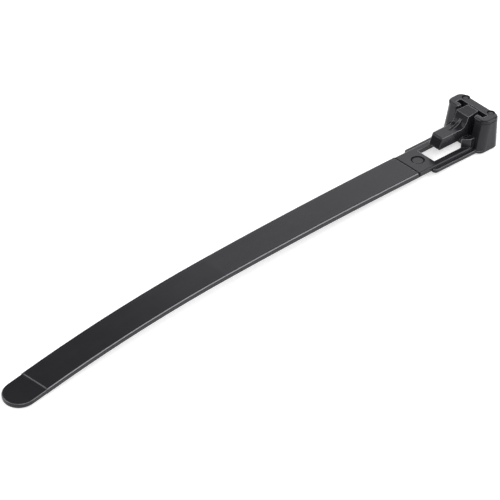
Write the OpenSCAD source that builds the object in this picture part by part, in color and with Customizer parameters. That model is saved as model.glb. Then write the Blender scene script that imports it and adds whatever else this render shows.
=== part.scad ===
// Releasable cable tie, one moulding in black nylon. Millimetres.
// It is drawn in the frame of its head: the slot is centred on x = 0, the strap runs
// off along -x and the head's base is z = 0. The whole piece is then tipped so that
// it lies at rest on the strap's tip and on the back edge of the head.

/* [Sub-part] */

/* [Strap] */
// width and thickness of the strap
strap_w = 7.6;
strap_t = 1.25;
// the thinned end
tip_w = 7.54;
tip_t = 1.08;
tip_len = 7.7;
tip_lift = 0.03;
// low ridge across the strap where the thinned end begins
ridge_r = 0.14;
ridge_h = 0.07;
ridge_w = 6.8;
// rounding along the strap's long edges
edge_r = 0.3;
// height of the strap's underside over the head's base
strap_lift = 0.1;
// the strap keeps the set of its moulding: nearly straight by the head, rounder by the tip
bend1_len = 54;
bend1_r = 1090;
bend2_len = 49.65;
bend2_r = 355;

/* [Teeth under the strap] */
rack_pitch = 1.5;
rack_depth = 0.42;
rack_w = 4.8;
// clear of the head and of the tip
rack_from = 10;
rack_to = 100;
tooth_land = 0.12;

/* [Pad and rails, a little slimmer than the strap all round] */
pad_from = 18.05;
pad_t = 1.08;
pad_w = 7.54;
pad_lift = 0.03;
mark_x = -14.85;
mark_r = 1.3;
mark_depth = 0.12;
// narrow groove across the pad where it meets the strap
groove_w = 0.2;
groove_d = 0.14;

/* [Window, rails and flanges] */
window_end = -12.55;
window_w = 4.85;
flange_from = -14.4;
flange_w = 9.3;
flange_t = 0.75;
flange_end_r = 0.7;
flange_lift = 0.05;

/* [Housing] */
head_w = 11.4;
head_h = 7.4;
head_back = 2.75;
// front face, at the top and at the foot
head_front_top = -1.85;
head_front_foot = -3.1;
head_corner_r = 1.6;
// the sloping wall stands a little behind the rims above and below it
wall_set_back = 0.12;
// how far the wall runs into the rims
wall_lap = 0.2;
rim_h = 0.7;
top_rim_h = 0.7;
rim_r = 0.35;
// slot for the strap, with its clearance, and the opening for the pawl
slot_w = 7.8;
slot_t = 1.36;
slot_flare = 0.35;
slot_flare_h = 0.6;
cheek_gap = 4.9;
cheek_edge_r = 0.45;
// the back wall is set in between two round bosses
boss_y = 3.64;
boss_x = 1.87;
boss_r = 0.9;
back_recess = 0.35;
ejector_r = 0.72;
ejector_depth = 0.12;

/* [Foot beam, hinge and buttresses] */
beam_front = -3.9;
beam_back = -2.9;
beam_top = 2.0;
beam_gap_w = 2.8;
beam_gap_h = 1.1;
hinge_t = 0.45;
hinge_x = -3.55;
// buttresses on the rails, their fronts cut back towards the outside
post_front = -5.1;
post_corner = -3.55;
post_back = -2.5;
post_y = 3.7;
post_top = 3.2;

/* [Pawl and release lever] */
// its width at the front, and at the back where it enters the slot
pawl_w = 3.5;
pawl_back_w = 2.96;
pawl_back = 0.05;
pawl_front = -2.6;
pawl_top = 7.4;
pawl_top_front = 7.25;
pawl_foot = 2.9;
// the heel behind the beam
heel_front = -2.5;
heel_foot = 1.5;
heel_cut = 0.6;
tooth_h = 0.3;
tooth_pitch = 1.0;
tooth_flat = 0.2;
tab_w = 3.0;
tab_front = -9.8;
tab_lean = 0.75;
tab_top = 4.8;
tab_under = 2.35;
tab_edge_r = 0.4;
// underside of the lever, from the hinge to the tab
crook_x = -3.9;
crook_mid_x = -4.4;
crook_mid_z = 2.75;
crook_end_x = -5.1;
// ramp from the tab up to the pawl, by its distances from the pawl's front and the tab's top
ramp_start = 1.7;
ramp_low = 0.95;
ramp_low_h = 0.35;
ramp_high = 0.55;
ramp_high_h = 1.0;
lever_neck = 2.2;
rib_w = 0.62;
rib_top = 6.5;
rib_front = -6.4;
rib_arc_r = 5;

/* [Hidden] */
$fn = 48;
eps = 0.01;
bend1_a = bend1_len / bend1_r * 180 / PI;
bend2_a = bend2_len / bend2_r * 180 / PI;
bend_a = bend1_a + bend2_a;
thin_len = tip_len - tip_w / 2;
// underside at the end of the bends, in the head's frame
end_x = -pad_from - bend1_r * sin(bend1_a) - bend2_r * (sin(bend_a) - sin(bend1_a));
end_z = strap_lift - bend1_r * (1 - cos(bend1_a)) - bend2_r * (cos(bend1_a) - cos(bend_a));
// lowest point of the tip, and the tilt that lays it level with the head's back edge
low_x = end_x - (tip_len - edge_r) * cos(bend_a);
low_z = end_z - (tip_len - edge_r) * sin(bend_a) + tip_lift;
foot_x = head_back - rim_r;
tilt = atan2(-low_z, foot_x - low_x);
tab_slope = atan2(tab_lean, tab_top - tab_under - 2 * tab_edge_r);

// puts its children on the underside, s along the strap from the pad
module at_station(s) {
    a1 = min(s, bend1_len) / bend1_r * 180 / PI;
    a2 = max(s - bend1_len, 0) / bend2_r * 180 / PI;
    translate([-pad_from, 0, strap_lift - bend1_r])
        rotate([0, -a1, 0])
            translate([0, 0, bend1_r - bend2_r])
                rotate([0, -a2, 0])
                    translate([0, 0, bend2_r])
                        children();
}

// section of a strap w by t: x is height from the underside, y is across
module strap_section(w, t) {
    $fn = 16;
    r = edge_r;
    h = w / 2;
    union() {
        translate([0, -h + r]) square([t, w - 2 * r]);
        translate([r, -h]) square([t - 2 * r, w]);
        for (side = [-1, 1])
            for (x = [r, t - r])
                translate([x, side * (h - r)]) circle(r);
    }
}

// one bend, its underside at z = 0 where x = 0: from there down towards -x
module strap_bend(radius, angle) {
    translate([0, 0, -radius])
        rotate([90, 0, 0])
            rotate_extrude(angle = angle, start = 90, $fn = 1440)
                translate([radius, 0]) strap_section(strap_w, strap_t);
}

module straight_section(x0, x1, w, t) {
    translate([x1, 0, 0])
        rotate([0, -90, 0])
            linear_extrude(x1 - x0) strap_section(w, t);
}

// thinner end, which begins inside the strap; its far half is a half disc with the same edge
module strap_tip() {
    r = edge_r;
    t = tip_t;
    h = tip_w / 2;
    translate([0, 0, tip_lift]) {
        straight_section(0, thin_len + 1, tip_w, t);
        rotate([0, 0, 90])
            rotate_extrude(angle = 180, $fn = 64)
                union() {
                    $fn = 16;
                    square([h - r, t]);
                    translate([0, r]) square([h, t - 2 * r]);
                    translate([h - r, r]) circle(r);
                    translate([h - r, t - r]) circle(r);
                }
    }
}

// point in the side view, s along the strap and h over its underside
function on_strap(s, h) =
    let (a1 = min(s, bend1_len) / bend1_r * 180 / PI,
         a = a1 + max(s - bend1_len, 0) / bend2_r * 180 / PI,
         r = s <= bend1_len ? 0 : bend1_r - bend2_r)
    [-pad_from - r * sin(a1) - (bend1_r - r + h) * sin(a),
     strap_lift - bend1_r + r * cos(a1) + (bend1_r - r + h) * cos(a)];

// the grooves between the teeth, as one comb: each tooth is steep on the side of the head
module rack() {
    grooves = [for (s = [rack_from : rack_pitch : rack_to])
                   each [on_strap(s - rack_pitch * 0.8, -0.05), on_strap(s, rack_depth),
                         on_strap(s + tooth_land, rack_depth), on_strap(s + tooth_land, -0.05)]];
    rotate([90, 0, 0])
        linear_extrude(rack_w, center = true)
            polygon(concat(grooves, [on_strap(rack_to + 0.5, -0.6), on_strap(rack_from - 1.5, -0.6)]));
}

module strap() {
    difference() {
        union() {
            // the two bends meet here face to face
            at_station(bend1_len) {
                strap_bend(bend2_r, bend2_a);
                mirror([1, 0, 0]) strap_bend(bend1_r, bend1_a);
            }
            at_station(bend1_len + bend2_len) {
                translate([-thin_len, 0, 0]) strap_tip();
                translate([ridge_r, ridge_w / 2, strap_t + ridge_h - ridge_r])
                    rotate([90, 0, 0]) cylinder(r = ridge_r, h = ridge_w);
            }
        }
        rack();
    }
}

// pad with its shallow round mark, and the rails that run on from it beside the window
module pad() {
    translate([0, 0, strap_lift + pad_lift])
        difference() {
            straight_section(-pad_from - 1, head_front_foot + 1, pad_w, pad_t);
            translate([mark_x, 0, pad_t - mark_depth]) cylinder(r = mark_r, h = 1);
            translate([-pad_from, -pad_w, pad_t - groove_d]) cube([groove_w, 2 * pad_w, 1]);
        }
}

// flanges along the feet of the rails
module flanges() {
    for (side = [-1, 1])
        translate([flange_from + flange_end_r, side * (flange_w / 2 - flange_end_r), flange_lift]) {
            cylinder(r = flange_end_r, h = flange_t);
            translate([0, -flange_end_r, 0])
                cube([head_front_foot + 1 - flange_from - flange_end_r, 2 * flange_end_r, flange_t]);
        }
}

module window() {
    translate([window_end, -window_w / 2, -1])
        cube([-window_end + head_front_foot + 1, window_w, 4]);
}

// upright with rounded corners, its top (or foot) edge rounded by f all round
module rounded_block(x0, x1, w, r, f, z0, z1) {
    h = w / 2;
    union() {
        translate([x0 + r, -h, z0]) cube([x1 - x0 - 2 * r, w, z1 - f - z0]);
        translate([x0, -h + r, z0]) cube([x1 - x0, w - 2 * r, z1 - f - z0]);
        translate([x0 + r, -h + f, z0]) cube([x1 - x0 - 2 * r, w - 2 * f, z1 - z0]);
        translate([x0 + f, -h + r, z0]) cube([x1 - x0 - 2 * f, w - 2 * r, z1 - z0]);
        for (side = [-1, 1]) {
            for (x = [x0 + r, x1 - r])
                translate([x, side * (h - r), z0])
                    rotate_extrude()
                        union() {
                            square([r, z1 - f - z0]);
                            square([r - f, z1 - z0]);
                            translate([r - f, z1 - f - z0]) circle(f);
                        }
            translate([x0 + r, side * (h - f), z1 - f])
                rotate([0, 90, 0]) cylinder(r = f, h = x1 - x0 - 2 * r);
        }
        for (x = [x0 + f, x1 - f])
            translate([x, h - r, z1 - f])
                rotate([90, 0, 0]) cylinder(r = f, h = w - 2 * r);
    }
}

// upright with rounded corners, plain ends
module plan_block(x0, x1, w, r, h) {
    union() {
        translate([x0 + r, -w / 2, 0]) cube([x1 - x0 - 2 * r, w, h]);
        translate([x0, -w / 2 + r, 0]) cube([x1 - x0, w - 2 * r, h]);
        for (side = [-1, 1])
            for (x = [x0 + r, x1 - r])
                translate([x, side * (w / 2 - r), 0]) cylinder(r = r, h = h);
    }
}

// takes the corner off the front of each cheek, where it turns in to the opening
module cheek_rounding(front, h) {
    r = cheek_edge_r;
    y = cheek_gap / 2;
    for (side = [-1, 1])
        difference() {
            translate([front - 1, side * (y + r / 2 - 0.5) - r / 2 - 0.5, 0]) cube([1 + r, r + 1, h]);
            translate([front + r, side * (y + r), -1]) cylinder(r = r, h = h + 2);
        }
}

module housing_shell() {
    lean = atan2(head_front_top - head_front_foot, head_h - rim_h - top_rim_h);
    union() {
        // top rim
        difference() {
            rounded_block(head_front_top, head_back, head_w, head_corner_r, rim_r, head_h - top_rim_h, head_h);
            translate([0, 0, head_h - top_rim_h - 1]) cheek_rounding(head_front_top, 3);
        }
        // foot rim, the same upside down
        translate([0, 0, rim_h]) mirror([0, 0, 1])
            rounded_block(head_front_foot, head_back, head_w, head_corner_r, rim_r, 0, rim_h);
        // wall between them, with its sloping front
        intersection() {
            translate([0, 0, rim_h - wall_lap])
                plan_block(head_front_foot - 2, head_back, head_w, head_corner_r,
                           head_h - rim_h - top_rim_h + 2 * wall_lap);
            translate([head_front_foot + wall_set_back, 0, rim_h])
                rotate([0, lean, 0])
                    translate([0, 0, -head_h / 2])
                        difference() {
                            plan_block(0, head_w, head_w, head_corner_r, 2 * head_h);
                            cheek_rounding(0, 2 * head_h);
                        }
        }
    }
}

module housing() {
    difference() {
        union() {
            difference() {
                housing_shell();
                // rear face set in between the bosses
                translate([head_back - back_recess, -boss_y, -1])
                    cube([2, 2 * boss_y, head_h + 2]);
            }
            // bosses that carry the two ejector marks
            for (side = [-1, 1])
                translate([boss_x, side * boss_y, rim_r])
                    cylinder(r = boss_r, h = head_h - rim_r);
        }
        for (side = [-1, 1])
            translate([boss_x, side * boss_y, head_h - ejector_depth])
                cylinder(r = ejector_r, h = 1);
        // slot
        translate([-slot_t / 2, -slot_w / 2, -1]) cube([slot_t, slot_w, head_h + 2]);
        // flared way in from below
        translate([0, slot_w / 2 + slot_flare, 0])
            rotate([90, 0, 0])
                linear_extrude(slot_w + 2 * slot_flare)
                    polygon([[-slot_t / 2 - slot_flare, -0.1], [slot_t / 2 + slot_flare, -0.1],
                             [slot_t / 2, slot_flare_h], [-slot_t / 2, slot_flare_h]]);
        // opening between the cheeks
        translate([head_front_foot - 2, -cheek_gap / 2, -1])
            cube([-head_front_foot + 2, cheek_gap, head_h + 2]);
    }
}

module beam() {
    difference() {
        translate([beam_front, -window_w / 2 - 0.5, strap_lift])
            cube([beam_back - beam_front, window_w + 1, beam_top - strap_lift]);
        // open underneath between the two feet
        translate([beam_front - 1, -beam_gap_w / 2, -1])
            cube([beam_back - beam_front + 2, beam_gap_w, beam_gap_h + 1]);
    }
}

// buttresses that stand on the rails in front of the cheeks
module posts() {
    for (side = [-1, 1])
        translate([0, 0, strap_lift + pad_lift + pad_t / 2])
            linear_extrude(post_top - strap_lift - pad_lift - pad_t / 2)
                polygon([[post_front, side * window_w / 2], [post_corner, side * post_y],
                         [post_back, side * post_y], [post_back, side * window_w / 2]]);
}

module hinge() {
    translate([hinge_x - hinge_t / 2, -tab_w / 2, beam_top - 0.1])
        cube([hinge_t, tab_w, pawl_foot - beam_top + 0.5]);
}

// side view of the lever: x along the tie, y up; the pawl's teeth are flat on top and catch in the rack
module lever_profile() {
    r = tab_edge_r;
    // ends of the leaning front, where the two roundings begin
    along = [-r * cos(tab_slope), r * sin(tab_slope)];
    top_c = [tab_front + r, tab_top - r];
    foot_c = [tab_front - tab_lean + r, tab_under + r];
    teeth = [for (i = [0 : 2]) each [[pawl_back + tooth_h, pawl_top - i * tooth_pitch],
                                     [pawl_back + tooth_h, pawl_top - i * tooth_pitch - tooth_flat],
                                     [pawl_back, pawl_top - (i + 1) * tooth_pitch]]];
    union() {
        polygon(concat(teeth,
            [[pawl_back, heel_foot + heel_cut], [pawl_back - heel_cut, heel_foot], [heel_front, heel_foot],
             [heel_front, pawl_foot], [crook_x, pawl_foot], [crook_mid_x, crook_mid_z],
             [crook_end_x, tab_under], [foot_c[0], tab_under], foot_c + along, top_c + along,
             [top_c[0], tab_top], [pawl_front - ramp_start, tab_top],
             [pawl_front - ramp_low, tab_top + ramp_low_h], [pawl_front - ramp_high, tab_top + ramp_high_h],
             [pawl_front, pawl_top_front]]));
        translate(top_c) circle(r);
        translate(foot_c) circle(r);
    }
}

module rib() {
    rotate([90, 0, 0])
        linear_extrude(rib_w, center = true)
            difference() {
                polygon([[pawl_front - 0.1, rib_top], [pawl_front + 0.5, tab_top - 0.8],
                         [rib_front, tab_top - 0.8], [rib_front, tab_top]]);
                translate([rib_front, tab_top + rib_arc_r]) circle(rib_arc_r, $fn = 128);
            }
}

// plan of the lever: narrow tab, wide pawl that tapers into the slot
module lever_plan() {
    polygon([[tab_front - 2, -tab_w / 2], [pawl_front - lever_neck, -tab_w / 2], [pawl_front, -pawl_w / 2],
             [pawl_back, -pawl_back_w / 2], [pawl_back + 1, -pawl_back_w / 2],
             [pawl_back + 1, pawl_back_w / 2], [pawl_back, pawl_back_w / 2],
             [pawl_front, pawl_w / 2], [pawl_front - lever_neck, tab_w / 2], [tab_front - 2, tab_w / 2]]);
}

// takes off the two upright edges at the thumb end, along its leaning front
module tab_rounding() {
    r = tab_edge_r;
    translate([tab_front + r, 0, tab_top - r])
        rotate([0, tab_slope, 0])
            for (side = [-1, 1])
                difference() {
                    translate([-2 * r, side * (tab_w / 2) - r, -tab_top]) cube([2 * r, 2 * r, 2 * tab_top]);
                    translate([0, side * (tab_w / 2 - r), -1.5 * tab_top]) cylinder(r = r, h = 3 * tab_top);
                }
}

module lever() {
    difference() {
        intersection() {
            rotate([90, 0, 0]) linear_extrude(pawl_w + 1, center = true) lever_profile();
            linear_extrude(2 * head_h) lever_plan();
        }
        tab_rounding();
    }
    rib();
    hinge();
}

module cable_tie_upright() {
    union() {
        difference() {
            union() {
                strap();
                pad();
                flanges();
            }
            window();
        }
        housing();
        beam();
        posts();
        lever();
    }
}

module cable_tie() {
    color([0.07, 0.07, 0.08])
        translate([foot_x, 0, 0])
            rotate([0, tilt, 0])
                translate([-foot_x, 0, 0])
                    cable_tie_upright();
}

cable_tie();
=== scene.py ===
import math

import bpy
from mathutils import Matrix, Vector

# Releasable cable tie, one moulding in black nylon, lying at rest on a white table.
# Lengths are in metres. The strap runs off along -x from the head, which is near the origin.

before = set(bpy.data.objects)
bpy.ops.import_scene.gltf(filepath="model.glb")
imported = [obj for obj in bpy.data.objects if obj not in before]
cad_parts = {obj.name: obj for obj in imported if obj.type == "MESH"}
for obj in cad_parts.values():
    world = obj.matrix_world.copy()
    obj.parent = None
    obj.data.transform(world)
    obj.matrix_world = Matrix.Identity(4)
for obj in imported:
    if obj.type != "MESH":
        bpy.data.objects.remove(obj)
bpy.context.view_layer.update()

MM = 0.001

# where the photograph looks from, and how wide it is at the object
VIEW_AZIMUTH = math.radians(-43.805)
VIEW_ELEVATION = math.radians(36.811)
VIEW_CENTRE = Vector((-58.18, 3.80, 0.0)) * MM
VIEW_WIDTH = 100.80 * MM
VIEW_DISTANCE = 4.5
SENSOR_WIDTH = 36.0

WHITE = (1.0, 1.0, 1.0, 1.0)

# the table: half the length of its side, its own colour, and what lifts it to plain white
TABLE_HALF = 12.0
TABLE_COLOUR = (0.80, 0.80, 0.80, 1.0)
TABLE_LIFT = 0.56

# the room's plain light, and the far wall that glows low down behind the head
ROOM_LEVEL = 0.12
GLOW_LEVEL = 2.35
GLOW_SIDE = (0.80, 0.60, 0.0)
GLOW_STARTS = 0.62
GLOW_FULL = 0.92
GLOW_SWELL = 2.6

# the lamps are aimed at the middle of the strap
STRAP_MIDDLE = Vector((-60.0, 0.0, 2.0)) * MM

# marks on the moulding, in the object's own frame: the two ejector pins and the round mark on the pad, each
# ringed by a line of painted shade
PIN_MARKS = [((2.35 * MM, 3.64 * MM, 7.36 * MM), 0.72 * MM),
             ((2.35 * MM, -3.64 * MM, 7.36 * MM), 0.72 * MM),
             ((-14.74 * MM, 0.0, 2.27 * MM), 1.30 * MM)]
MARK_LINE_WIDTH = 0.36 * MM
# the head is tipped a little, and its top rim ends at this height along its own axis
HEAD_UP = (0.0649, 0.0, 0.9979)
RIM_HEIGHT = 6.86 * MM
RIM_LINE_WIDTH = 0.22 * MM
# the painted shade line under the rim is only on the sides of the housing, this far from the middle and
# beyond
RIM_SIDE = 2.5 * MM
# the groove across the end of the pad, and the width of the painted shade line along it
GROOVE_PLACE = -17.88 * MM
GROOVE_LINE_WIDTH = 0.64 * MM
# the strap runs from here to the tip, and its last stretch, from the low ridge on, is thinner
STRAP_FROM = -18.25 * MM
TIP_FROM = -121.5 * MM
TIP_BLEND = 0.5 * MM

# the nylon's two dark tones, the colour of the highlight painted on its edges and the colour of the shade
# painted in its fine lines
DEEP_BLACK = (0.0138, 0.0134, 0.0162, 1.0)
PALE_BLACK = (0.0202, 0.0197, 0.0230, 1.0)
EDGE_HIGHLIGHT_COLOUR = (0.27, 0.27, 0.28, 1.0)
PAINTED_SHADE_COLOUR = (0.002, 0.002, 0.002, 1.0)
# roughness of the plain skin, from its glossiest streak to its dullest, of corners and of lines
SKIN_GLOSSY = 0.16
SKIN_DULL = 0.22
CORNER_ROUGHNESS = 0.85
LINE_ROUGHNESS = 0.95


def direction(azimuth, elevation):
    """The way from the object to a viewer or a lamp; azimuth 0 looks along +Y."""
    flat = math.cos(elevation)
    return Vector((math.sin(azimuth) * flat, -math.cos(azimuth) * flat, math.sin(elevation)))


def aim(thing, place, target):
    thing.location = place
    thing.rotation_euler = (place - target).to_track_quat("Z", "Y").to_euler()


def add_camera():
    data = bpy.data.cameras.new("long lens")
    data.sensor_width = SENSOR_WIDTH
    data.lens = SENSOR_WIDTH * VIEW_DISTANCE / VIEW_WIDTH
    data.clip_start = 0.05
    data.clip_end = 60.0
    camera = bpy.data.objects.new("camera", data)
    bpy.context.scene.collection.objects.link(camera)
    aim(camera, VIEW_CENTRE + direction(VIEW_AZIMUTH, VIEW_ELEVATION) * VIEW_DISTANCE, VIEW_CENTRE)
    bpy.context.scene.camera = camera


def add_softbox(name, azimuth, elevation, distance, width, height, power, roll=0.0):
    """A soft lamp aimed at the strap; its angles and its roll about the way that it shines are in degrees."""
    data = bpy.data.lights.new(name, "AREA")
    data.shape = "RECTANGLE"
    data.size = width
    data.size_y = height
    data.energy = power
    lamp = bpy.data.objects.new(name, data)
    bpy.context.scene.collection.objects.link(lamp)
    away = direction(math.radians(azimuth), math.radians(elevation)) * distance
    aim(lamp, STRAP_MIDDLE + away, STRAP_MIDDLE)
    lamp.rotation_euler.rotate_axis("Z", math.radians(roll))


def feed(tree, value, socket):
    """Sets a plain value on a socket, or links another node's output to it."""
    if isinstance(value, bpy.types.NodeSocket):
        tree.links.new(value, socket)
    else:
        socket.default_value = value


def new_node(tree, kind, inputs):
    """A node of this kind, with what each named input is fed."""
    node = tree.nodes.new("ShaderNode" + kind)
    for name, value in inputs.items():
        feed(tree, value, node.inputs[name])
    return node


def maths(tree, operation, *values):
    """The result of a Math node on numbers or on other nodes' outputs."""
    node = tree.nodes.new("ShaderNodeMath")
    node.operation = operation
    for place, value in enumerate(values):
        feed(tree, value, node.inputs[place])
    return node.outputs["Value"]


def vector_maths(tree, operation, output, *values):
    """The named output, Vector or Value, of a Vector Math node."""
    node = tree.nodes.new("ShaderNodeVectorMath")
    node.operation = operation
    for place, value in enumerate(values):
        feed(tree, value, node.inputs[place])
    return node.outputs[output]


def ramp(tree, value, start, end, low=0.0, high=1.0, shape="LINEAR"):
    """Goes from low to high as the value goes from start to end, and no further."""
    node = tree.nodes.new("ShaderNodeMapRange")
    node.interpolation_type = shape
    feed(tree, value, node.inputs["Value"])
    feed(tree, start, node.inputs["From Min"])
    feed(tree, end, node.inputs["From Max"])
    feed(tree, low, node.inputs["To Min"])
    feed(tree, high, node.inputs["To Max"])
    return node.outputs["Result"]


def blend(tree, factor, first, second, kind="FLOAT"):
    """The first value where the factor is 0, and the second where it is 1."""
    node = tree.nodes.new("ShaderNodeMix")
    node.data_type = kind
    feed(tree, factor, node.inputs["Factor"])
    feed(tree, first, node.inputs["A"])
    feed(tree, second, node.inputs["B"])
    return node.outputs["Result"]


def noise(tree, place, scale, detail, roughness=0.5, distortion=0.0):
    node = new_node(tree, "TexNoise", {"Vector": place, "Scale": scale, "Detail": detail,
                                       "Roughness": roughness, "Distortion": distortion})
    return node.outputs["Fac"]


def object_place(tree):
    """Where a point is in the object's own frame."""
    return tree.nodes.new("ShaderNodeTexCoord").outputs["Object"]


def split(tree, vector):
    """The X, Y and Z of a vector, each an output."""
    return new_node(tree, "SeparateXYZ", {"Vector": vector}).outputs


def new_group(name, inputs, outputs):
    """A node group with number sockets, with what it is given and where its results go."""
    group = bpy.data.node_groups.new(name, "ShaderNodeTree")
    for title in inputs:
        group.interface.new_socket(title, in_out="INPUT", socket_type="NodeSocketFloat")
    for title in outputs:
        group.interface.new_socket(title, in_out="OUTPUT", socket_type="NodeSocketFloat")
    given = group.nodes.new("NodeGroupInput")
    result = group.nodes.new("NodeGroupOutput")
    return group, given.outputs, result.inputs


def use_group(tree, group, inputs):
    """Puts a group into a material and gives its outputs."""
    node = tree.nodes.new("ShaderNodeGroup")
    node.node_tree = group
    for name, value in inputs.items():
        feed(tree, value, node.inputs[name])
    return node.outputs


def table_top_material():
    """White table: the paper's own colour, lifted to plain white where it is looked at or mirrored."""
    paper = bpy.data.materials.new("white table")
    paper.use_nodes = True
    tree = paper.node_tree
    tree.nodes.clear()
    path = tree.nodes.new("ShaderNodeLightPath").outputs
    seen = maths(tree, "MAXIMUM", path["Is Camera Ray"], path["Is Glossy Ray"])
    seen = maths(tree, "MAXIMUM", seen, path["Is Transmission Ray"])
    strength = maths(tree, "MULTIPLY", seen, TABLE_LIFT)
    matt = new_node(tree, "BsdfDiffuse", {"Color": TABLE_COLOUR})
    lift = new_node(tree, "Emission", {"Color": WHITE, "Strength": strength})
    both = tree.nodes.new("ShaderNodeAddShader")
    feed(tree, matt.outputs["BSDF"], both.inputs[0])
    feed(tree, lift.outputs["Emission"], both.inputs[1])
    new_node(tree, "OutputMaterial", {"Surface": both.outputs["Shader"]})
    return paper


def add_table():
    mesh = bpy.data.meshes.new("table")
    half = TABLE_HALF
    corners = [(-half, -half, 0), (half, -half, 0), (half, half, 0), (-half, half, 0)]
    mesh.from_pydata(corners, [], [(0, 1, 2, 3)])
    table = bpy.data.objects.new("table", mesh)
    bpy.context.scene.collection.objects.link(table)
    mesh.materials.append(table_top_material())


def add_room():
    """A dim room with a glowing far wall, which looks plain white to the camera."""
    world = bpy.data.worlds.new("room")
    world.use_nodes = True
    tree = world.node_tree
    around = tree.nodes.new("ShaderNodeTexCoord").outputs["Generated"]
    towards = vector_maths(tree, "DOT_PRODUCT", "Value", around, GLOW_SIDE)
    glow = maths(tree, "POWER", ramp(tree, towards, GLOW_STARTS, GLOW_FULL), GLOW_SWELL)
    wall = ramp(tree, glow, 0.0, 1.0, ROOM_LEVEL, GLOW_LEVEL)
    looked_at = tree.nodes.new("ShaderNodeLightPath").outputs["Is Camera Ray"]
    back = tree.nodes["Background"]
    feed(tree, blend(tree, looked_at, wall, 1.0), back.inputs["Strength"])
    feed(tree, WHITE, back.inputs["Color"])
    bpy.context.scene.world = world


def moulded_grain():
    """Skin of a moulded nylon part: fine grain, faint flow along the strap and a slow change of tone."""
    group, given, result = new_group("moulded grain", ["Grain Size", "Flow Size"], ["Height", "Flow", "Tone"])
    place = object_place(group)

    per_grain = maths(group, "DIVIDE", 1.0, given["Grain Size"])
    feed(group, noise(group, place, per_grain, detail=3.0, roughness=0.6), result["Height"])

    # flow: long soft streaks where the nylon ran along the strap
    per_flow = maths(group, "DIVIDE", 1.0, given["Flow Size"])
    stretch = new_node(group, "Mapping", {"Vector": place, "Scale": (0.12, 1.0, 1.0)})
    streaks = noise(group, stretch.outputs["Vector"], per_flow, detail=4.0, distortion=0.6)
    feed(group, streaks, result["Flow"])

    # tone: slow clouds, about 6 mm across
    feed(group, noise(group, place, 160.0, detail=2.0), result["Tone"])
    return group


def painted_highlight_and_corners():
    """Masks of the outer edges, where a highlight is painted, and of the inner corners, where a mould leaves
    the skin duller.
    """
    group, given, result = new_group("painted edge highlight and corners", ["Edge Size"], ["Rubbed", "Corner"])

    # an edge is where the rounded surface turns away from the flat one
    rounded = new_node(group, "Bevel", {"Radius": given["Edge Size"]})
    rounded.samples = 8
    flat = group.nodes.new("ShaderNodeNewGeometry").outputs["Normal"]
    same = vector_maths(group, "DOT_PRODUCT", "Value", rounded.outputs["Normal"], flat)
    turn = ramp(group, same, 0.98, 0.86)

    # an inner corner is closed in by what stands round it, and no highlight is painted there
    closed = new_node(group, "AmbientOcclusion", {"Distance": 0.45 * MM})
    closed.samples = 8
    closed.only_local = True
    corner = ramp(group, closed.outputs["AO"], 0.95, 0.55)
    feed(group, corner, result["Corner"])
    painted_highlight = maths(group, "MULTIPLY", turn, maths(group, "SUBTRACT", 1.0, corner))

    # the strap's long edges are rounded in the moulding, so the painted highlight is put on the part of their
    # rounding that faces up at a slant
    upward = split(group, flat)["Z"]
    between = maths(group, "MULTIPLY", ramp(group, upward, 0.40, 0.65), ramp(group, upward, 0.985, 0.90))
    along = split(group, object_place(group))["X"]
    on_strap = maths(group, "MULTIPLY", maths(group, "LESS_THAN", along, STRAP_FROM), 0.95)
    painted_highlight = maths(group, "MAXIMUM", painted_highlight, maths(group, "MULTIPLY", between, on_strap))

    # the painted highlight is weaker on the thin tip
    less = ramp(group, along, TIP_FROM, TIP_FROM + TIP_BLEND, 0.5, 1.0)
    feed(group, maths(group, "MULTIPLY", painted_highlight, less), result["Rubbed"])
    return group


def line_across(tree, distance, width):
    """1 over the middle half of a line's width, falling smoothly to 0 at its borders."""
    return ramp(tree, maths(tree, "ABSOLUTE", distance), width / 2, width / 4, shape="SMOOTHSTEP")


def line_round(tree, place, centre, radius, width):
    """The same for a line round a pin mark."""
    away = vector_maths(tree, "SUBTRACT", "Vector", place, centre)
    reach = vector_maths(tree, "LENGTH", "Value", away)
    return line_across(tree, maths(tree, "SUBTRACT", reach, radius), width)


def painted_shade_lines():
    """Painted shade along fine lines: under the housing's top rim, round the pin marks and in the groove by
    the pad.
    """
    group, _, result = new_group("painted shade lines", [], ["Line"])
    place = object_place(group)
    parts = split(group, place)

    height = vector_maths(group, "DOT_PRODUCT", "Value", place, HEAD_UP)
    rim = line_across(group, maths(group, "SUBTRACT", height, RIM_HEIGHT), RIM_LINE_WIDTH)
    on_side = maths(group, "GREATER_THAN", maths(group, "ABSOLUTE", parts["Y"]), RIM_SIDE)
    total = maths(group, "MULTIPLY", rim, on_side)

    for centre, radius in PIN_MARKS:
        ring = line_round(group, place, centre, radius, MARK_LINE_WIDTH)
        total = maths(group, "MAXIMUM", total, ring)

    groove = line_across(group, maths(group, "SUBTRACT", parts["X"], GROOVE_PLACE), GROOVE_LINE_WIDTH)
    feed(group, maths(group, "MAXIMUM", total, groove), result["Line"])
    return group


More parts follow.
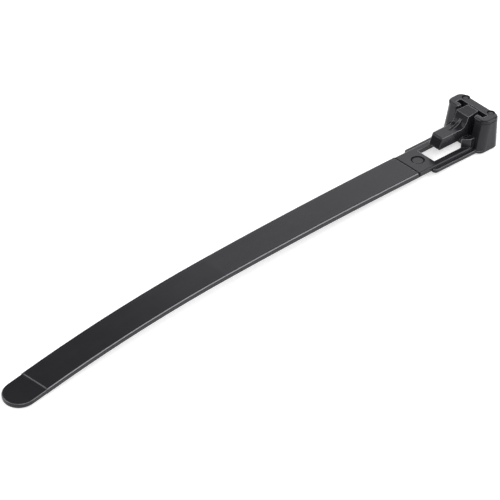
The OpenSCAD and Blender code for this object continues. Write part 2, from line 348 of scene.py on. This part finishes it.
def black_nylon():
    nylon = bpy.data.materials.new("black nylon")
    nylon.use_nodes = True
    tree = nylon.node_tree
    skin = tree.nodes["Principled BSDF"]
    skin.inputs["IOR"].default_value = 1.5
    skin.inputs["Specular IOR Level"].default_value = 0.34
    skin.inputs["Specular Tint"].default_value = (0.95, 0.935, 1.0, 1.0)

    grain = use_group(tree, moulded_grain(), {"Grain Size": 0.22 * MM, "Flow Size": 1.6 * MM})
    highlight_corner_masks = use_group(tree, painted_highlight_and_corners(), {"Edge Size": 0.22 * MM})
    line = use_group(tree, painted_shade_lines(), {})["Line"]

    colour = blend(tree, grain["Tone"], DEEP_BLACK, PALE_BLACK, "RGBA")
    # painted highlight: the edges are made lighter in colour to stand for light glancing off them
    colour = blend(tree, highlight_corner_masks["Rubbed"], colour, EDGE_HIGHLIGHT_COLOUR, "RGBA")
    # painted shade: the fine lines under the rim, round the pin marks and in the pad's groove are made
    # darker; the same lines also drive a real bump below
    colour = blend(tree, line, colour, PAINTED_SHADE_COLOUR, "RGBA")
    feed(tree, colour, skin.inputs["Base Color"])

    roughness = ramp(tree, grain["Flow"], 0.3, 0.7, SKIN_GLOSSY, SKIN_DULL)
    roughness = blend(tree, highlight_corner_masks["Corner"], roughness, CORNER_ROUGHNESS)
    roughness = blend(tree, line, roughness, LINE_ROUGHNESS)
    feed(tree, roughness, skin.inputs["Roughness"])

    # the mould's edges are all a little rounded
    edge = new_node(tree, "Bevel", {"Radius": 0.12 * MM})
    edge.samples = 16
    grained = new_node(tree, "Bump", {"Strength": 1.0, "Distance": 0.004 * MM,
                                      "Height": grain["Height"], "Normal": edge.outputs["Normal"]})
    scored = new_node(tree, "Bump", {"Strength": 1.0, "Distance": 0.16 * MM,
                                     "Height": line, "Normal": grained.outputs["Normal"]})
    scored.invert = True
    feed(tree, scored.outputs["Normal"], skin.inputs["Normal"])
    return nylon


scene = bpy.context.scene
scene.view_settings.view_transform = "Standard"

add_camera()
add_table()
add_room()
add_softbox("front softbox", -40.0, 48.0, distance=0.90, width=0.45, height=0.45, power=2.4)
add_softbox("right softbox", 38.0, 36.0, distance=0.80, width=0.52, height=0.84, power=5.0, roll=-24.0)
add_softbox("back softbox", -146.0, 38.0, distance=0.90, width=0.70, height=0.52, power=3.5)

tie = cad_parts["cable_tie"]
nylon = black_nylon()
for slot in tie.material_slots:
    slot.material = nylon
